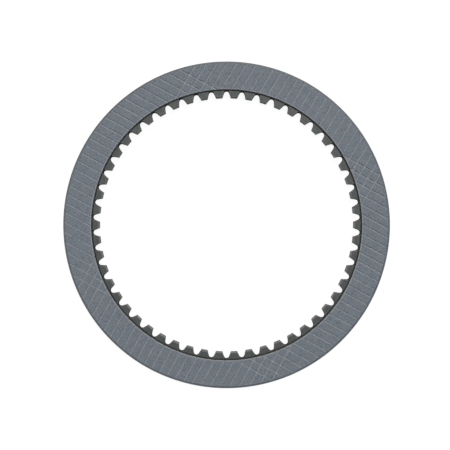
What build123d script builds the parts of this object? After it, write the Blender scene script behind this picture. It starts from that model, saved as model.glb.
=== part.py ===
"""Internally splined friction disc for a multi-disc clutch.

One flat steel core plate has an involute spline in its bore and a grooved friction facing on each side.
The disc lies flat: +Z is its axis, and the origin is on that axis, level with the lower friction face.
Lengths are in millimetres. Angles are in degrees, except where a comment says radians.
"""

from build123d import *
from math import acos, cos, pi, radians, sin, sqrt, tan
import os

INCH = 25.4

# Involute spline in the bore
SPLINE_TEETH = 54
DIAMETRAL_PITCH = 10.0  # teeth for each inch of pitch diameter
PRESSURE_ANGLE = 20.0
TOOTH_THICKNESS = 4.3  # along the pitch circle
ADDENDUM = 1.27  # from the pitch circle in to the tooth tips
DEDENDUM = 2.286  # from the pitch circle out to the bottom of the root fillets

# Core plate and friction facings
PLATE_THICKNESS = 3.2
FACING_THICKNESS = 0.8
FACING_WIDTH = 13.7  # from the bore of a facing out to its rim
ROOT_TO_FACING = 0.2  # bare plate left between the tooth roots and a facing
RIM_TO_FACING = 1.2  # bare plate left between a facing and the plate's rim

# Oil grooves, cut in four passes of a gang of cutters, each from the bore out across one side
GROOVE_PITCH = 4.5
GROOVE_WIDTH = 0.9
GROOVE_DEPTH = 0.4
CUTTER_OVERRUN = 1.0  # how far a cutter's stroke passes the edges of the facing
# Each pass: its heading, how far the gang is set to the left of it, and how far round the facing's
# middle circle the gang reaches to either side
GROOVE_PASSES = (
    (-28.4, 0.3, 51.0),
    (58.6, 1.3, 46.0),
    (151.6, 0.9, 51.0),
    (241.2, 4.0, 46.0),
)

# Sizes that follow from those above
PITCH_RADIUS = SPLINE_TEETH / DIAMETRAL_PITCH * INCH / 2
BASE_RADIUS = PITCH_RADIUS * cos(radians(PRESSURE_ANGLE))
TIP_RADIUS = PITCH_RADIUS - ADDENDUM
ROOT_RADIUS = PITCH_RADIUS + DEDENDUM
FACING_BORE_RADIUS = ROOT_RADIUS + ROOT_TO_FACING
FACING_RIM_RADIUS = FACING_BORE_RADIUS + FACING_WIDTH
FACING_MIDDLE_RADIUS = FACING_BORE_RADIUS + FACING_WIDTH / 2
PLATE_RIM_RADIUS = FACING_RIM_RADIUS + RIM_TO_FACING
PLATE_BOTTOM = FACING_THICKNESS
PLATE_TOP = PLATE_BOTTOM + PLATE_THICKNESS


def involute(angle):
    """Involute function of a pressure angle in radians."""
    return tan(angle) - angle


# Half of the space between two teeth where its flanks reach the base circle, in radians
HALF_SPACE = pi / SPLINE_TEETH - TOOTH_THICKNESS / PITCH_RADIUS / 2 + involute(radians(PRESSURE_ANGLE))


def flank_point(radius, side):
    """Point at a radius on a flank of the space that is centred on +X, with side -1 or 1."""
    angle = HALF_SPACE - involute(acos(BASE_RADIUS / radius))
    return (radius * cos(angle), side * radius * sin(angle))


def flank_end_radius():
    """Radius where the flanks run into the full round that touches both of them and the root circle.

    The normals of a flank touch the base circle, so the round is centred where one of them crosses
    the centre line of the space. The angle from that line to where it touches is found by bisection.
    """
    low = 0.0
    high = acos(BASE_RADIUS / ROOT_RADIUS)
    for _ in range(60):
        angle = (low + high) / 2
        centre = BASE_RADIUS / cos(angle)
        round_radius = BASE_RADIUS * (HALF_SPACE - involute(angle))
        if centre + round_radius < ROOT_RADIUS:
            low = angle
        else:
            high = angle
    return BASE_RADIUS * sqrt(1 + (angle + HALF_SPACE) ** 2)


def tooth_space():
    """Space between two spline teeth, centred on +X and run on into the bore."""
    flank_end = flank_end_radius()
    flank_middle = (TIP_RADIUS + flank_end) / 2
    overrun = (-ADDENDUM, 0)
    right, left = [
        ThreePointArc(*[flank_point(radius, side) for radius in (TIP_RADIUS, flank_middle, flank_end)])
        for side in (-1, 1)
    ]
    root = ThreePointArc(right @ 1, (ROOT_RADIUS, 0), left @ 1)
    mouth = Polyline(right @ 0, right @ 0 + overrun, left @ 0 + overrun, left @ 0)
    return make_face([right, root, left, mouth])


def core_plate():
    """Blanked steel plate with the splined bore, turned so that a tooth points along +X."""
    spaces = PolarLocations(0, SPLINE_TEETH, start_angle=180 / SPLINE_TEETH) * tooth_space()
    opening = Circle(TIP_RADIUS) + spaces
    blank = Circle(PLATE_RIM_RADIUS) - opening
    return Pos(0, 0, PLATE_BOTTOM) * extrude(blank, PLATE_THICKNESS)


def half_chord(radius, offset):
    """Half of a circle's chord at an offset from its centre, or zero where the line misses it."""
    return sqrt(max(radius**2 - offset**2, 0))


def stroke(offset):
    """Strip cleared by one cutter along +X, from the bore out, at an offset to the side."""
    far_side = abs(offset) + GROOVE_WIDTH / 2
    near_side = max(abs(offset) - GROOVE_WIDTH / 2, 0)
    start = half_chord(FACING_BORE_RADIUS, far_side) - CUTTER_OVERRUN
    end = half_chord(FACING_RIM_RADIUS, near_side) + CUTTER_OVERRUN
    return Pos((start + end) / 2, offset) * Rectangle(end - start, GROOVE_WIDTH)


def groove_plan():
    """All the grooves of one facing, seen from above."""
    strokes = []
    for heading, shift, reach in GROOVE_PASSES:
        half_width = FACING_MIDDLE_RADIUS * sin(radians(reach))
        spaces = round(2 * half_width / GROOVE_PITCH)
        for cutter in range(spaces + 1):
            offset = shift + (cutter - spaces / 2) * GROOVE_PITCH
            strokes.append(Rot(0, 0, heading) * stroke(offset))
    return Sketch() + strokes


def facing():
    """Grooved friction ring, with its bonded face on the ground plane and its friction face up."""
    ring = extrude(Circle(FACING_RIM_RADIUS) - Circle(FACING_BORE_RADIUS), FACING_THICKNESS)
    grooves = extrude(groove_plan(), FACING_THICKNESS)
    return ring - Pos(0, 0, FACING_THICKNESS - GROOVE_DEPTH) * grooves


def main():
    """Build the three pieces where they lie in the disc and write each to its own file."""
    ring = facing()
    pieces = {
        "core_plate": core_plate(),
        "facing_top": Pos(0, 0, PLATE_TOP) * ring,
        "facing_bottom": Pos(0, 0, PLATE_BOTTOM) * Rot(180, 0, 0) * ring,
    }
    os.makedirs("parts", exist_ok=True)
    for node, shape in pieces.items():
        export_step(shape, f"parts/{node}.step")


main()
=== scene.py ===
"""Looks of an internally splined clutch friction disc: plate, facings, finishes, floor, lamps and camera.

Sizes are written in millimetres and become metres where a mesh, a lamp or the camera is made.
"""

import math

import bpy
import numpy as np
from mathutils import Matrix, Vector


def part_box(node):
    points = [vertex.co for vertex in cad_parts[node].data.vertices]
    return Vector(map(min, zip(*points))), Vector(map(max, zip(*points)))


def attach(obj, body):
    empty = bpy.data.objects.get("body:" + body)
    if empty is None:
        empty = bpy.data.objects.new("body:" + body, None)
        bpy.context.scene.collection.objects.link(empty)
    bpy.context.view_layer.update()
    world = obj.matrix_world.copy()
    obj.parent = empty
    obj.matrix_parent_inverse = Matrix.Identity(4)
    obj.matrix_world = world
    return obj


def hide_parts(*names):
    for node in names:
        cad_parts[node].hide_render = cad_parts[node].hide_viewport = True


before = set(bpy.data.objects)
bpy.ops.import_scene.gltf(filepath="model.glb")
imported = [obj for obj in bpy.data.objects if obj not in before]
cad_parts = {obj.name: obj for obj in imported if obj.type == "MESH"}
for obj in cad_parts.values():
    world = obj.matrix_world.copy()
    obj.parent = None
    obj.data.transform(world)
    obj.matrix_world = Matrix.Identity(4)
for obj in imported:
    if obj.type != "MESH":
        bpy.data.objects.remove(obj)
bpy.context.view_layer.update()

MM = 0.001

# Involute spline in the bore of the plate
SPLINE_TEETH = 54
PITCH_RADIUS = 68.58
PRESSURE_ANGLE = math.radians(20)
TOOTH_THICKNESS = 4.3
TIP_RADIUS = 67.31
ROOT_RADIUS = 70.866
TIP_CORNER = 0.22  # how far the rounding of a tip corner reaches along the land and the flank
BASE_RADIUS = PITCH_RADIUS * math.cos(PRESSURE_ANGLE)
SLANT_TRIES = 4000  # slants of the flank among which the full round's is found
# Points on the stretches of half a tooth space
ROOT_POINTS = 8
FLANK_POINTS = 7
CORNER_POINTS = 6
LAND_POINTS = 4

# Edges of the plate
DIE_ROLL = 0.24  # radius of the edges that the blanking punch drew in, on the upper side
EDGE_BREAK = 0.12  # radius of the tumbled edges on the under side
SHEAR_SHARE = 0.55  # part of a blanked wall that is sheared smooth, from the upper side down
FRACTURE_STEP = 0.04  # how far the torn rest of the wall stands back
TEAR_SLOPE = 0.1  # half of the height over which a wall steps back
EDGE_MARGIN = 0.1  # flat strip between a rounded edge and the next line round the plate
BORE_MARGIN = 0.15  # how far behind the rounded edge of the tooth roots the faces' first circle lies
TORN_MARGIN = 0.15  # how far above the broken edge the torn wall starts
BOND_MARGIN = 1.0  # how far under a facing the faces' second circle lies
EDGE_BREAK_FACE_SHARE = 0.5  # part of the tumbled edge's height that has the finish of the face
DIE_ROLL_FACE_SHARE = 0.3  # part of the drawn-in edge's height that has it
LEAST_RISE = 0.01  # a strip that rises less than this is flat

# Friction facings
FACING_WIDTH = 13.7
LIP_WIDTH = 0.55  # rounding of the bore edge, across the face
LIP_DEPTH = 0.3  # and down the bore
RIM_ROUND = 0.15
FACE_MARGIN = 0.15  # flat strip between a rounding and the next circle of the face
FACING_SEGMENTS = 480
SHARP_ANGLE = math.radians(35)  # edges that turn by more than this are shaded as edges

# Oil grooves
GROOVE_PITCH = 4.5
GROOVE_WIDTH = 0.9
GROOVE_DEPTH = 0.4
GROOVE_FLARE = 0.07  # chamfer along the top edges of a groove
GROOVE_CORNER = 0.12  # radius of the corners at its floor
CUTTER_OVERRUN = 1.0  # how far a stroke passes the edges of the facing
CUTTER_RISE = 0.5  # how far a cutter's section runs on above the facing
# Each pass of the gang cutter: its heading, how far the gang is set to the left of it, and how far round
# the facing's middle circle it reaches to either side, with angles in degrees
GROOVE_PASSES = ((-28.4, 0.3, 51.0), (58.6, 1.3, 46.0), (151.6, 0.9, 51.0), (241.2, 4.0, 46.0))

# Finishes, as linear colours
LAND_COLOUR = (0.155, 0.179, 0.205, 1)
LAND_SPECK_COLOUR = (0.080, 0.095, 0.114, 1)
SCOURED_COLOUR = (0.249, 0.269, 0.296, 1)
SCOURED_SPECK_COLOUR = (0.42, 0.405, 0.385, 1)
GROOVE_WALL_COLOUR = (0.14, 0.16, 0.183, 1)
LIP_COLOUR = (0.255, 0.270, 0.288, 1)
BOND_AND_SHADE_COLOUR = (0.026, 0.027, 0.024, 1)  # adhesive squeezed out at a facing's edge, darkened further with painted shade for the corner between facing and plate
LEDGE_COLOUR = (0.094, 0.103, 0.11, 1)
STEEL_COLOUR = (0.0595, 0.0655, 0.063, 1)
# lighter rounded edges of the plate: partly wear, partly a painted highlight
WORN_AND_LIT_EDGE_COLOUR = (0.16, 0.165, 0.16, 1)
SHEARED_COLOUR = (0.315, 0.317, 0.302, 1)
TORN_COLOUR = (0.25, 0.243, 0.225, 1)
# painted shade for the tooth spaces: darkens the blanked flanks towards the roots
ROOT_SHADE_COLOUR = (0.05, 0.05, 0.046, 1)
BOND_REACH = 0.38  # how far the dark band of adhesive and painted shade reaches in from the tooth roots
BOND_BLUR = 0.3  # half of the width over which it fades
LIP_BLUR = 0.1  # half of the width over which the lip's colour fades
RAGGED_WIDTH = 0.5  # how far the edges of the stain and the ledge wander in and out
# Distances between which a finish comes in, each from the place that its comment names
GROOVE_WALL_FADE = (0.01, 0.05)  # down from the friction face
GROOVE_FLOOR_FADE = (0.02, 0.01)  # down from the top of the floor's corners, and up from the floor
BORE_BOND_FADE = (0.12, 0.02)  # outwards from the facing's bore
BORE_BOND_DEPTH = 0.1  # down from the lip, where the adhesive and painted shade are in full after this
LEDGE_FADE = (0.05, 0.25)  # outwards from the facing's rim
ROOT_SHADE_FADE = (0.1, 1.8)  # outwards from the tooth tips, where the painted root shade comes in
BORE_ONLY_FADE = 1.0  # inwards from the middle of the facing, so that the rim has no painted root shade
# Strength of a finish over the one below it
WORN_AND_LIT_EDGE_SHARE = 0.45
TORN_SHARE = 0.6
ROOT_SHADE_SHARE = 0.85
GRINDING_SCALE = (3000.0, 220.0, 300.0)  # grinding lines per metre, fine across X and drawn out along Y

# Levels and radii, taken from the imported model
plate_low, plate_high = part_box("core_plate")
facing_low, facing_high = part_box("facing_top")
PLATE_BOTTOM, PLATE_TOP = plate_low.z / MM, plate_high.z / MM
PLATE_RIM_RADIUS = plate_high.x / MM
FACING_RIM_RADIUS = facing_high.x / MM
FACING_BORE_RADIUS = FACING_RIM_RADIUS - FACING_WIDTH
FACING_MIDDLE_RADIUS = FACING_RIM_RADIUS - FACING_WIDTH / 2
FACING_THICKNESS = (facing_high.z - facing_low.z) / MM
DISC_HEIGHT = facing_high.z / MM
TEAR_LEVEL = PLATE_TOP - SHEAR_SHARE * (PLATE_TOP - PLATE_BOTTOM)


# ---------------------------------------------------------------- meshes


def make_piece(name, vertices, faces, materials):
    """Puts vertices in millimetres and faces into a smooth-shaded piece that rides on the disc."""
    mesh = bpy.data.meshes.new(name)
    mesh.from_pydata((vertices * MM).tolist(), [], faces)
    mesh.shade_smooth()
    for material in materials:
        mesh.materials.append(material)
    piece = bpy.data.objects.new(name, mesh)
    bpy.context.scene.collection.objects.link(piece)
    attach(piece, "root")
    return piece


def torus_faces(rows, columns):
    """Quads of a grid that closes on itself both ways, with corner (row, column) at row * columns + column."""
    row, column = np.meshgrid(np.arange(rows), np.arange(columns), indexing="ij")
    next_row = (row + 1) % rows
    next_column = (column + 1) % columns
    corners = (
        row * columns + column,
        next_row * columns + column,
        next_row * columns + next_column,
        row * columns + next_column,
    )
    return np.stack(corners, axis=-1).reshape(-1, 4)


def ring_of(radii, angles, height):
    """Points at the given radii and angles, all at one height."""
    return np.stack([radii * np.cos(angles), radii * np.sin(angles), np.full_like(angles, height)], axis=-1)


def quarter(points):
    """Sine and one minus cosine of evenly spaced angles from 0 to 90 degrees, one for each point."""
    turn = np.linspace(0, math.pi / 2, points)
    return np.sin(turn), 1 - np.cos(turn)


# ---------------------------------------------------------------- plate


def involute(angle):
    """Involute function of a pressure angle in radians: its tangent less the angle."""
    return np.tan(angle) - angle


def spline_outline():
    """Outline of the splined bore, as complex numbers x + iy in order of rising angle.

    From the middle of a tooth space it follows the full round at the root, which touches the flank and the
    root circle, then the involute flank, where the space narrows by the involute function, then a tip corner
    blended as a parabola between a point on the flank and one on the land, then half of the land. This half
    is mirrored about the middle of the space, and the pair is repeated round the bore.
    """
    half_space = math.pi / SPLINE_TEETH - TOOTH_THICKNESS / PITCH_RADIUS / 2 + involute(PRESSURE_ANGLE)
    angles = np.linspace(0, math.acos(BASE_RADIUS / ROOT_RADIUS), SLANT_TRIES)
    reach = BASE_RADIUS / np.cos(angles) + BASE_RADIUS * (half_space - involute(angles))
    slant = np.interp(ROOT_RADIUS, reach, angles)
    centre = BASE_RADIUS / math.cos(slant)
    turn = np.linspace(0, math.pi / 2 - slant, ROOT_POINTS)
    root = centre + (ROOT_RADIUS - centre) * np.exp(1j * turn)
    flank_radii = np.linspace(abs(root[-1]), TIP_RADIUS + TIP_CORNER, FLANK_POINTS)[1:]
    flank = flank_radii * np.exp(1j * (half_space - involute(np.arccos(BASE_RADIUS / flank_radii))))
    corner_angle = half_space - involute(math.acos(BASE_RADIUS / TIP_RADIUS))
    corner = TIP_RADIUS * np.exp(1j * corner_angle)
    land_start = corner_angle + TIP_CORNER / TIP_RADIUS
    land_angles = np.linspace(land_start, math.pi / SPLINE_TEETH, LAND_POINTS)
    land = TIP_RADIUS * np.exp(1j * land_angles)
    blend = np.linspace(0, 1, CORNER_POINTS)[1:-1]
    parabola = (1 - blend) ** 2 * flank[-1] + 2 * blend * (1 - blend) * corner + blend**2 * land[0]
    half = np.concatenate([root, flank, parabola, land])
    pitch = np.concatenate([half[:0:-1].conj(), half[:-1]])
    space_angles = (2 * np.arange(SPLINE_TEETH) + 1) * math.pi / SPLINE_TEETH
    return (pitch[None, :] * np.exp(1j * space_angles)[:, None]).ravel()


def plate_mesh():
    """Surface of the splined plate: its section carried round the spline outline.

    A row of the grid is one line round the plate. On the bore side it is the outline moved into the metal
    along its normal, and on the rim side a circle. The section's corners are quarter rounds, a large one on
    the punched side, and its walls step back where the metal tore. Also gives each row's share of edge wear
    and painted highlight.
    the punched side, and its walls step back where the metal tore. Also gives each row's share of edge wear.
    """
    outline = spline_outline()
    ahead = np.roll(outline, -1) - np.roll(outline, 1)
    to_bore = 1j * ahead / np.abs(ahead)
    angles = np.unwrap(np.angle(outline))
    rows = []
    wear_and_highlight = []

    def bore_row(inset, height, worn_and_lit=0.0):
        points = outline - to_bore * inset
        rows.append(np.stack([points.real, points.imag, np.full(len(points), height)], axis=-1))
        wear_and_highlight.append(worn_and_lit)

    def circle_row(radius, height, worn_and_lit=0.0):
        rows.append(ring_of(np.full(len(angles), radius), angles, height))
        wear_and_highlight.append(worn_and_lit)

    def wall(row, sign):
        """Both rounds and the sheared and torn wall between them, for sign 1 from the under side up."""
        sine, versine = quarter(points=4)
        below = [(EDGE_BREAK * (1 - s), PLATE_BOTTOM + EDGE_BREAK * v, 1.0) for s, v in zip(sine, versine)]
        middle = [
            (FRACTURE_STEP, PLATE_BOTTOM + EDGE_BREAK + TORN_MARGIN, 0.0),
            (FRACTURE_STEP, TEAR_LEVEL - TEAR_SLOPE, 0.0),
            (0.0, TEAR_LEVEL + TEAR_SLOPE, 0.0),
        ]
        sine, versine = quarter(points=5)
        above = [(DIE_ROLL * v, PLATE_TOP - DIE_ROLL * (1 - s), 1.0) for s, v in zip(sine, versine)]
        for inset, height, worn_and_lit in (below + middle + above)[::sign]:
            row(inset, height, worn_and_lit)

    wall(bore_row, 1)
    bore_row(DIE_ROLL + EDGE_MARGIN, PLATE_TOP)
    circle_row(ROOT_RADIUS + DIE_ROLL + BORE_MARGIN, PLATE_TOP)
    circle_row(FACING_BORE_RADIUS + BOND_MARGIN, PLATE_TOP)
    circle_row(PLATE_RIM_RADIUS - DIE_ROLL - EDGE_MARGIN, PLATE_TOP)
    wall(lambda inset, height, worn_and_lit: circle_row(PLATE_RIM_RADIUS - inset, height, worn_and_lit), -1)
    circle_row(PLATE_RIM_RADIUS - EDGE_BREAK - EDGE_MARGIN, PLATE_BOTTOM)
    circle_row(FACING_BORE_RADIUS + BOND_MARGIN, PLATE_BOTTOM)
    circle_row(ROOT_RADIUS + DIE_ROLL + BORE_MARGIN, PLATE_BOTTOM)
    bore_row(EDGE_BREAK + EDGE_MARGIN, PLATE_BOTTOM)
    return np.array(rows), np.array(wear_and_highlight)


def make_plate(face_material, wall_material):
    """Splined plate in place of its plain node, with a finish for its faces and one for its walls.

    The strip between two rows belongs to a wall where it rises and lies clear of the rounded edges.
    """
    rows, wear_and_highlight = plate_mesh()
    count, around = rows.shape[:2]
    faces = torus_faces(count, around)
    materials = [face_material, wall_material]
    plate = make_piece("plate", rows.reshape(-1, 3), faces.tolist(), materials)
    attribute = plate.data.attributes.new("wear_and_highlight", "FLOAT", "POINT")
    attribute.data.foreach_set("value", np.repeat(wear_and_highlight, around).astype(np.float32))
    heights = rows[:, 0, 2]
    next_heights = np.roll(heights, -1)
    low, high = np.minimum(heights, next_heights), np.maximum(heights, next_heights)
    above_break = low > PLATE_BOTTOM + EDGE_BREAK * EDGE_BREAK_FACE_SHARE
    below_roll = high < PLATE_TOP - DIE_ROLL * DIE_ROLL_FACE_SHARE
    upright = (high - low > LEAST_RISE) & above_break & below_roll
    plate.data.polygons.foreach_set("material_index", np.repeat(upright, around).astype(np.int32))
    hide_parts("core_plate")


# ---------------------------------------------------------------- facings


def facing_ring():
    """Plain facing, bonded face on height 0: a closed section carried round a circle.

    The section has a quarter ellipse where the face runs into the bore and a quarter circle at the rim.
    """
    sine, versine = quarter(points=6)
    lip = (FACING_BORE_RADIUS + LIP_WIDTH * versine, FACING_THICKNESS - LIP_DEPTH * (1 - sine))
    sine, versine = quarter(points=4)
    rim = (FACING_RIM_RADIUS - RIM_ROUND * (1 - sine), FACING_THICKNESS - RIM_ROUND * versine)
    section = np.concatenate([
        [(FACING_BORE_RADIUS, 0)],
        np.stack(lip, axis=-1),
        [(FACING_BORE_RADIUS + LIP_WIDTH + FACE_MARGIN, FACING_THICKNESS)],
        [(FACING_RIM_RADIUS - RIM_ROUND - FACE_MARGIN, FACING_THICKNESS)],
        np.stack(rim, axis=-1),
        [(FACING_RIM_RADIUS, 0)],
    ])
    angles = np.arange(FACING_SEGMENTS) * 2 * math.pi / FACING_SEGMENTS
    rows = np.array([
        ring_of(np.full(FACING_SEGMENTS, radius), angles, height) for radius, height in section
    ])
    return rows.reshape(-1, 3), torus_faces(len(section), FACING_SEGMENTS)


def half_chord(radius, offset):
    """Half of a circle's chord at an offset from its centre, or zero where the line misses it."""
    return np.sqrt(np.maximum(radius**2 - offset**2, 0))


def groove_cutters(heading, shift, reach):
    """What one pass of the gang cutter clears: a groove section carried along each cutter's stroke.

    The section is the groove with rounded floor corners and a chamfer that runs on above the face. A stroke
    goes along its chord of the ring from inside the bore to beyond the rim.
    """
    sine, versine = quarter(points=4)
    half = GROOVE_WIDTH / 2
    floor = FACING_THICKNESS - GROOVE_DEPTH
    corner = np.stack([half - GROOVE_CORNER * (1 - sine), floor + GROOVE_CORNER * versine], axis=-1)
    rise = GROOVE_FLARE + CUTTER_RISE
    shoulder = FACING_THICKNESS - GROOVE_FLARE
    mouth = np.array([(half, shoulder), (half + rise, shoulder + rise)])
    right = np.concatenate([corner, mouth])
    section = np.concatenate([right, right[::-1] * (-1, 1)])
    spaces = round(2 * FACING_MIDDLE_RADIUS * math.sin(math.radians(reach)) / GROOVE_PITCH)
    cutters = spaces + 1
    offsets = shift + (np.arange(cutters) - spaces / 2) * GROOVE_PITCH
    start = half_chord(FACING_BORE_RADIUS, np.abs(offsets) + half) - CUTTER_OVERRUN
    end = half_chord(FACING_RIM_RADIUS, np.maximum(np.abs(offsets) - half, 0)) + CUTTER_OVERRUN
    points = np.zeros((cutters, 2, len(section), 3))
    points[..., 0] = np.stack([start, end], axis=1)[..., None]
    points[..., 1] = offsets[:, None, None] + section[:, 0]
    points[..., 2] = section[:, 1]
    turn = math.radians(heading)
    x, y = points[..., 0].copy(), points[..., 1].copy()
    points[..., 0] = x * math.cos(turn) - y * math.sin(turn)
    points[..., 1] = x * math.sin(turn) + y * math.cos(turn)
    size = len(section)
    here = np.arange(size)
    there = (here + 1) % size
    sides = np.stack([here, there, there + size, here + size], axis=-1)
    faces = []
    for first in range(0, cutters * 2 * size, 2 * size):
        faces += (sides + first).tolist()
        faces.append((here[::-1] + first).tolist())
        faces.append((here + first + size).tolist())
    return points.reshape(-1, 3), faces


def cut_facing():
    """Facing mesh data in millimetres, bonded face on height 0, with the four groove passes cut out."""
    vertices, faces = facing_ring()
    mesh = bpy.data.meshes.new("facing_blank")
    mesh.from_pydata(vertices.tolist(), [], faces.tolist())
    for groove_pass in GROOVE_PASSES:
        blank = bpy.data.objects.new("facing_blank", mesh)
        cutter_mesh = bpy.data.meshes.new("gang")
        cutter_vertices, cutter_faces = groove_cutters(*groove_pass)
        cutter_mesh.from_pydata(cutter_vertices.tolist(), [], cutter_faces)
        gang = bpy.data.objects.new("gang", cutter_mesh)
        for item in (blank, gang):
            bpy.context.scene.collection.objects.link(item)
        cut = blank.modifiers.new("cut", "BOOLEAN")
        cut.operation = "DIFFERENCE"
        cut.solver = "MANIFOLD"
        cut.object = gang
        evaluated = blank.evaluated_get(bpy.context.evaluated_depsgraph_get())
        mesh = bpy.data.meshes.new_from_object(evaluated)
        for item in (blank, gang):
            bpy.data.objects.remove(item)
    return mesh


def make_facings(material):
    """Both facings in place of their plain nodes: the lower one is the upper one turned over about +X."""
    blank = cut_facing()
    count = len(blank.vertices)
    flat = np.zeros(count * 3, np.float32)
    blank.vertices.foreach_get("co", flat)
    upright = flat.reshape(-1, 3).astype(float)
    faces = [tuple(face.vertices) for face in blank.polygons]
    over = upright * (1, -1, -1)
    for node, points in (
        ("facing_top", upright + (0, 0, PLATE_TOP)),
        ("facing_bottom", over + (0, 0, PLATE_BOTTOM)),
    ):
        piece = make_piece(node.replace("facing_", "lining_"), points, faces, [material])
        piece.data.set_sharp_from_angle(angle=SHARP_ANGLE)
        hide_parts(node)


# ---------------------------------------------------------------- materials


def node(tree, kind, inputs=None, **settings):
    """Adds a node, sets its properties, and sets or links its inputs, which are given by name or number."""
    made = tree.nodes.new(kind)
    for key, value in settings.items():
        setattr(made, key, value)
    for key, value in (inputs or {}).items():
        if isinstance(value, bpy.types.NodeSocket):
            tree.links.new(value, made.inputs[key])
        else:
            made.inputs[key].default_value = value
    return made


def maths(tree, operation, first, second=0.0, clamp=False):
    """Result of a Math node."""
    return node(tree, "ShaderNodeMath", {0: first, 1: second}, operation=operation, use_clamp=clamp).outputs[0]


def ramp(tree, value, low, high, from_value=0.0, to_value=1.0):
    """Smooth step of a value from low to high."""
    inputs = {"Value": value, "From Min": low, "From Max": high, "To Min": from_value, "To Max": to_value}
    made = node(tree, "ShaderNodeMapRange", inputs, interpolation_type="SMOOTHSTEP")
    return made.outputs["Result"]


def mix(tree, factor, first, second):
    """Colour between two colours."""
    return node(tree, "ShaderNodeMix", {0: factor, 6: first, 7: second}, data_type="RGBA").outputs[2]


def shade(tree, colour, factor):
    """Colour made darker or lighter by a factor that varies over the surface."""
    made = node(tree, "ShaderNodeVectorMath", {0: colour, "Scale": factor}, operation="SCALE")
    return made.outputs["Vector"]


def new_group(name, inputs, outputs):
    """Empty shader node group with named float, colour or vector sockets."""
    group = bpy.data.node_groups.new(name, "ShaderNodeTree")
    for socket, kind, default in inputs:
        made = group.interface.new_socket(socket, in_out="INPUT", socket_type=kind)
        if default is not None:
            made.default_value = default
    for socket, kind in outputs:
        group.interface.new_socket(socket, in_out="OUTPUT", socket_type=kind)
    return group, node(group, "NodeGroupInput"), node(group, "NodeGroupOutput")


def mottle_group():
    """Soft blotches and fine grain as one factor about 1, and the grain by itself for relief."""
    group, given, result = new_group(
        "mottle",
        [
            ("Vector", "NodeSocketVector", None),
            ("Blotches per metre", "NodeSocketFloat", 250.0),
            ("Blotch strength", "NodeSocketFloat", 0.05),
            ("Grains per metre", "NodeSocketFloat", 2000.0),
            ("Grain strength", "NodeSocketFloat", 0.1),
        ],
        [("Factor", "NodeSocketFloat"), ("Grain", "NodeSocketFloat")],
    )
    blotch = node(
        group,
        "ShaderNodeTexNoise",
        {"Vector": given.outputs["Vector"], "Scale": given.outputs["Blotches per metre"], "Detail": 3.0},
    ).outputs[0]
    grain = node(
        group,
        "ShaderNodeTexNoise",
        {
            "Vector": given.outputs["Vector"],
            "Scale": given.outputs["Grains per metre"],
            "Detail": 4.0,
            "Roughness": 0.65,
        },
    ).outputs[0]
    coarse = maths(group, "MULTIPLY", maths(group, "SUBTRACT", blotch, 0.5), given.outputs["Blotch strength"])
    fine = maths(group, "MULTIPLY", maths(group, "SUBTRACT", grain, 0.5), given.outputs["Grain strength"])
    total = maths(group, "ADD", maths(group, "ADD", coarse, fine), 1.0)
    group.links.new(total, result.inputs["Factor"])
    group.links.new(grain, result.inputs["Grain"])
    return group


def specks_group():
    """Mask of small scattered specks: cells whose random value is below the amount, near their centres."""
    group, given, result = new_group(
        "specks",
        [
            ("Vector", "NodeSocketVector", None),
            ("Cells per metre", "NodeSocketFloat", 900.0),
            ("Amount", "NodeSocketFloat", 0.15),
            ("Size", "NodeSocketFloat", 0.35),
        ],
        [("Mask", "NodeSocketFloat")],
    )
    cells = node(
        group,
        "ShaderNodeTexVoronoi",
        {"Vector": given.outputs["Vector"], "Scale": given.outputs["Cells per metre"]},
    )
    chance = node(group, "ShaderNodeSeparateColor", {0: cells.outputs["Color"]}).outputs[0]
    chosen = maths(group, "LESS_THAN", chance, given.outputs["Amount"])
    near = ramp(group, cells.outputs["Distance"], given.outputs["Size"], 0.0)
    group.links.new(maths(group, "MULTIPLY", chosen, near), result.inputs["Mask"])
    return group


def surface_places(tree):
    """Object coordinates, the distance from the axis and the height, these two in millimetres."""
    place = node(tree, "ShaderNodeTexCoord").outputs["Object"]
    parts = node(tree, "ShaderNodeSeparateXYZ", {0: place})
    flat = node(tree, "ShaderNodeCombineXYZ", {0: parts.outputs[0], 1: parts.outputs[1]}).outputs[0]
    length = node(tree, "ShaderNodeVectorMath", {0: flat}, operation="LENGTH").outputs["Value"]
    radius = maths(tree, "DIVIDE", length, MM)
    height = maths(tree, "DIVIDE", parts.outputs[2], MM)
    return place, radius, height


def new_material(name, **constants):
    """Material with an empty Principled shader, whose constant values are set on its own sockets."""
    material = bpy.data.materials.new(name)
    material.use_nodes = True
    tree = material.node_tree
    shader = tree.nodes["Principled BSDF"]
    for socket, value in constants.items():
        shader.inputs[socket.replace("_", " ").title().replace("Ior", "IOR")].default_value = value
    return material, tree, shader


def relief(tree, shader, height, distance):
    """Gives a shader the small relief of a height map, with its depth in millimetres."""
    bump = node(tree, "ShaderNodeBump", {"Height": height, "Distance": distance * MM, "Strength": 1.0})
    tree.links.new(bump.outputs["Normal"], shader.inputs["Normal"])


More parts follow.
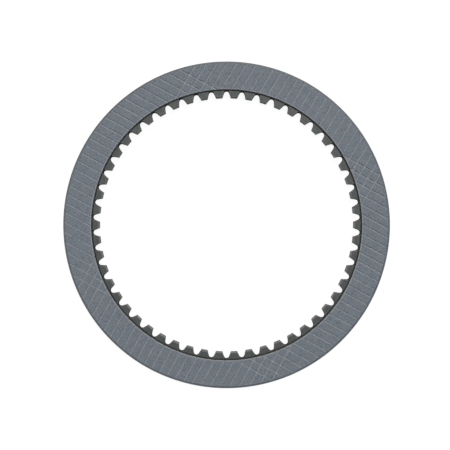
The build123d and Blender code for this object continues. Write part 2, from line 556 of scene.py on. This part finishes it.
def facing_material(mottle, specks):
    """Resin-bonded friction lining: glazed lands, scoured groove floors and bore lip, dark bonded edge with
    painted shade.
    """
    material, tree, shader = new_material("friction_lining", specular_ior_level=0.2)
    place, radius, height = surface_places(tree)
    middle = DISC_HEIGHT / 2
    from_middle = maths(tree, "ABSOLUTE", maths(tree, "SUBTRACT", height, middle))
    depth = maths(tree, "SUBTRACT", middle, from_middle)
    grain = node(
        tree,
        "ShaderNodeGroup",
        {
            "Vector": place,
            "Blotches per metre": 220.0,
            "Blotch strength": 0.25,
            "Grains per metre": 1300.0,
            "Grain strength": 1.3,
        },
        node_tree=mottle,
    )
    dark = node(
        tree,
        "ShaderNodeGroup",
        {"Vector": place, "Cells per metre": 850.0, "Amount": 0.22, "Size": 0.5},
        node_tree=specks,
    )
    bright = node(
        tree,
        "ShaderNodeGroup",
        {"Vector": place, "Cells per metre": 700.0, "Amount": 0.05, "Size": 0.4},
        node_tree=specks,
    )
    land = mix(tree, dark.outputs["Mask"], LAND_COLOUR, LAND_SPECK_COLOUR)
    scoured = mix(tree, bright.outputs["Mask"], SCOURED_COLOUR, SCOURED_SPECK_COLOUR)
    # Depth below the nearer face tells a groove's wall and floor, and the radius tells the lip and the bore
    groove_wall = ramp(tree, depth, *GROOVE_WALL_FADE)
    from_corner, from_floor = GROOVE_FLOOR_FADE
    corner_depth = GROOVE_DEPTH - GROOVE_CORNER
    groove_floor = ramp(tree, depth, corner_depth + from_corner, GROOVE_DEPTH - from_floor)
    lip_edge = FACING_BORE_RADIUS + LIP_WIDTH
    lip = ramp(tree, radius, lip_edge + LIP_BLUR, lip_edge - LIP_BLUR)
    colour = mix(tree, groove_wall, land, GROOVE_WALL_COLOUR)
    colour = mix(tree, groove_floor, colour, scoured)
    colour = mix(tree, lip, colour, LIP_COLOUR)
    colour = shade(tree, colour, grain.outputs["Factor"])
    outer, inner = (FACING_BORE_RADIUS + distance for distance in BORE_BOND_FADE)
    bore_wall = maths(
        tree,
        "MULTIPLY",
        ramp(tree, radius, outer, inner),
        ramp(tree, depth, LIP_DEPTH, LIP_DEPTH + BORE_BOND_DEPTH),
    )
    # painted shade with adhesive: the facing's bore wall under the lip is near black
    colour = mix(tree, bore_wall, colour, BOND_AND_SHADE_COLOUR)
    tree.links.new(colour, shader.inputs["Base Color"])
    roughness = ramp(tree, groove_wall, 0.0, 1.0, from_value=0.7, to_value=0.95)
    tree.links.new(roughness, shader.inputs["Roughness"])
    relief(tree, shader, grain.outputs["Grain"], distance=0.03)
    return material


def ground_steel_group(mottle):
    """Mottle and straight grinding lines of steel as one factor about 1, and the lines by themselves."""
    group, given, result = new_group(
        "ground_steel",
        [("Vector", "NodeSocketVector", None), ("Line strength", "NodeSocketFloat", 0.6)],
        [("Factor", "NodeSocketFloat"), ("Lines", "NodeSocketFloat")],
    )
    place = given.outputs["Vector"]
    grain = node(
        group,
        "ShaderNodeGroup",
        {
            "Vector": place,
            "Blotches per metre": 400.0,
            "Blotch strength": 0.5,
            "Grains per metre": 1700.0,
            "Grain strength": 1.2,
        },
        node_tree=mottle,
    )
    stretched = node(group, "ShaderNodeMapping", {"Vector": place, "Scale": GRINDING_SCALE}).outputs[0]
    lines = node(group, "ShaderNodeTexNoise", {"Vector": stretched, "Scale": 1.0, "Detail": 2.0}).outputs[0]
    streaks = maths(group, "MULTIPLY", maths(group, "SUBTRACT", lines, 0.5), given.outputs["Line strength"])
    group.links.new(maths(group, "ADD", grain.outputs["Factor"], streaks), result.inputs["Factor"])
    group.links.new(lines, result.inputs["Lines"])
    return group


def plate_face_material(ground_steel):
    """Ground and oiled steel of the plate's two faces, black with adhesive and painted shade along the bore of
    the facings.
    """
    material, tree, shader = new_material("oiled_steel", specular_ior_level=0.12)
    place, radius, _ = surface_places(tree)
    ground = node(tree, "ShaderNodeGroup", {"Vector": place, "Line strength": 0.6}, node_tree=ground_steel)
    wear_and_highlight = node(tree, "ShaderNodeAttribute", attribute_name="wear_and_highlight").outputs["Fac"]
    ragged = node(tree, "ShaderNodeTexNoise", {"Vector": place, "Scale": 700.0, "Detail": 3.0}).outputs[0]
    wander = maths(tree, "MULTIPLY", maths(tree, "SUBTRACT", ragged, 0.5), RAGGED_WIDTH)
    edge = maths(tree, "ADD", radius, wander)
    bond_edge = ROOT_RADIUS - BOND_REACH
    past_bond_edge = ramp(tree, edge, bond_edge - BOND_BLUR, bond_edge + BOND_BLUR)
    ledge = ramp(tree, edge, *(FACING_RIM_RADIUS + distance for distance in LEDGE_FADE))
    bond_and_shade = maths(tree, "SUBTRACT", past_bond_edge, ledge, clamp=True)
    colour = mix(tree, ledge, STEEL_COLOUR, LEDGE_COLOUR)
    colour = shade(tree, colour, ground.outputs["Factor"])
    # rounded edges made lighter: partly wear, partly a painted highlight
    colour = mix(tree, maths(tree, "MULTIPLY", wear_and_highlight, WORN_AND_LIT_EDGE_SHARE), colour, WORN_AND_LIT_EDGE_COLOUR)
    # painted shade with adhesive: a near black band on the plate along the facings' bore
    colour = mix(tree, bond_and_shade, colour, BOND_AND_SHADE_COLOUR)
    tree.links.new(colour, shader.inputs["Base Color"])
    metallic = ramp(tree, bond_and_shade, 0.0, 1.0, from_value=0.45, to_value=0.1)
    tree.links.new(metallic, shader.inputs["Metallic"])
    roughness = ramp(tree, bond_and_shade, 0.0, 1.0, from_value=0.5, to_value=0.75)
    tree.links.new(roughness, shader.inputs["Roughness"])
    relief(tree, shader, ground.outputs["Lines"], distance=0.01)
    return material


def plate_wall_material(ground_steel):
    """Blanked walls of the plate: sheared above, torn below, and darker towards the roots with painted shade.
    """
    material, tree, shader = new_material("sheared_steel", specular_ior_level=0.0, roughness=0.8)
    place, radius, height = surface_places(tree)
    ground = node(tree, "ShaderNodeGroup", {"Vector": place, "Line strength": 0.35}, node_tree=ground_steel)
    torn = ramp(tree, height, TEAR_LEVEL + TEAR_SLOPE, TEAR_LEVEL - TEAR_SLOPE)
    inner = ramp(tree, radius, FACING_MIDDLE_RADIUS, FACING_MIDDLE_RADIUS - BORE_ONLY_FADE)
    outwards = ramp(tree, radius, *(TIP_RADIUS + distance for distance in ROOT_SHADE_FADE))
    flank = maths(tree, "MULTIPLY", outwards, inner)
    colour = mix(tree, maths(tree, "MULTIPLY", torn, TORN_SHARE), SHEARED_COLOUR, TORN_COLOUR)
    # painted shade: the walls darken towards the tooth roots, where the tooth spaces are deep and narrow
    colour = mix(tree, maths(tree, "MULTIPLY", flank, ROOT_SHADE_SHARE), colour, ROOT_SHADE_COLOUR)
    tree.links.new(shade(tree, colour, ground.outputs["Factor"]), shader.inputs["Base Color"])
    relief(tree, shader, ground.outputs["Lines"], distance=0.02)
    return material


# ---------------------------------------------------------------- studio

FLOOR_SIZE = 3.0  # in metres
FLOOR_DROP = 0.02  # gap under the disc, so that no two surfaces share a place
FLOOR_GREY = (0.5, 0.5, 0.5, 1)  # as it lights the disc
FLOOR_SEEN_GREY = (0.16, 0.16, 0.16, 1)  # the part of its seen white that a shadow takes away
FLOOR_GLOW = 0.9
WHITE = (1, 1, 1, 1)
WORLD_STRENGTH = 0.1
CAMERA_HEIGHT = 240.0  # above the upper friction face
VIEW_WIDTH = 235.8  # of that plane, across the picture
SENSOR_WIDTH = 36.0
AXIS_RIGHT = 0.84  # where the disc's axis lies from the middle of the view
AXIS_UP = 0.08
# Each soft box: its place and the length of its sides in metres, and its power in watts
SOFT_BOXES = {
    "soft_box_behind": ((0.68, 1.77, 2.3), 1.2, 42.0),
    "soft_box_left": ((-2.2, 0.4, 1.6), 1.0, 19.0),
    "soft_box_right": ((2.2, 0.4, 1.6), 1.0, 11.0),
    "soft_box_above": ((0.0, 0.2, 2.5), 1.0, 17.0),
}


def seen_white(tree, lit, glow):
    """Shader that glows white for what the camera, reflections and glass see, and is as lit for the rest."""
    path = node(tree, "ShaderNodeLightPath").outputs
    seen = maths(tree, "MAXIMUM", path["Is Camera Ray"], path["Is Glossy Ray"])
    seen = maths(tree, "MAXIMUM", seen, path["Is Transmission Ray"])
    return node(tree, "ShaderNodeMixShader", {0: seen, 1: lit, 2: glow}).outputs[0]


def make_floor():
    """Plain pale floor that the disc lies on."""
    mesh = bpy.data.meshes.new("floor")
    half = FLOOR_SIZE / 2
    corners = [(-half, -half), (half, -half), (half, half), (-half, half)]
    mesh.from_pydata([(x, y, -FLOOR_DROP * MM) for x, y in corners], [], [(0, 1, 2, 3)])
    floor = bpy.data.objects.new("floor", mesh)
    bpy.context.scene.collection.objects.link(floor)
    material = bpy.data.materials.new("pale_floor")
    material.use_nodes = True
    tree = material.node_tree
    tree.nodes.clear()
    grey = node(tree, "ShaderNodeBsdfDiffuse", {"Color": FLOOR_GREY}).outputs[0]
    pale = node(tree, "ShaderNodeBsdfDiffuse", {"Color": FLOOR_SEEN_GREY}).outputs[0]
    glow = node(tree, "ShaderNodeEmission", {"Color": WHITE, "Strength": FLOOR_GLOW}).outputs[0]
    white = node(tree, "ShaderNodeAddShader", {0: pale, 1: glow}).outputs[0]
    output = node(tree, "ShaderNodeOutputMaterial")
    tree.links.new(seen_white(tree, grey, white), output.inputs["Surface"])
    mesh.materials.append(material)


def make_world():
    """Dim even light from all round, and a white backdrop."""
    world = bpy.data.worlds.new("studio")
    bpy.context.scene.world = world
    world.use_nodes = True
    tree = world.node_tree
    tree.nodes.clear()
    dim = node(tree, "ShaderNodeBackground", {"Color": WHITE, "Strength": WORLD_STRENGTH}).outputs[0]
    white = node(tree, "ShaderNodeBackground", {"Color": WHITE, "Strength": 1.0}).outputs[0]
    output = node(tree, "ShaderNodeOutputWorld")
    tree.links.new(seen_white(tree, dim, white), output.inputs["Surface"])


def make_lamp(name, place, size, power):
    """Square soft box at a place in metres, turned to the disc."""
    data = bpy.data.lights.new(name, "AREA")
    data.size = size
    data.energy = power
    lamp = bpy.data.objects.new(name, data)
    bpy.context.scene.collection.objects.link(lamp)
    lamp.location = place
    lamp.rotation_euler = lamp.location.to_track_quat("Z", "Y").to_euler()


def make_camera():
    """Camera straight above the disc, with +Y up in the picture."""
    data = bpy.data.cameras.new("camera")
    data.sensor_width = SENSOR_WIDTH
    data.lens = SENSOR_WIDTH * CAMERA_HEIGHT / VIEW_WIDTH
    camera = bpy.data.objects.new("camera", data)
    bpy.context.scene.collection.objects.link(camera)
    camera.location = (-AXIS_RIGHT * MM, -AXIS_UP * MM, (DISC_HEIGHT + CAMERA_HEIGHT) * MM)
    bpy.context.scene.camera = camera


mottle = mottle_group()
specks = specks_group()
ground_steel = ground_steel_group(mottle)
make_plate(plate_face_material(ground_steel), plate_wall_material(ground_steel))
make_facings(facing_material(mottle, specks))
make_floor()
make_world()
for name, (place, size, power) in SOFT_BOXES.items():
    make_lamp(name, place, size, power)
make_camera()
bpy.context.scene.view_settings.view_transform = "Standard"
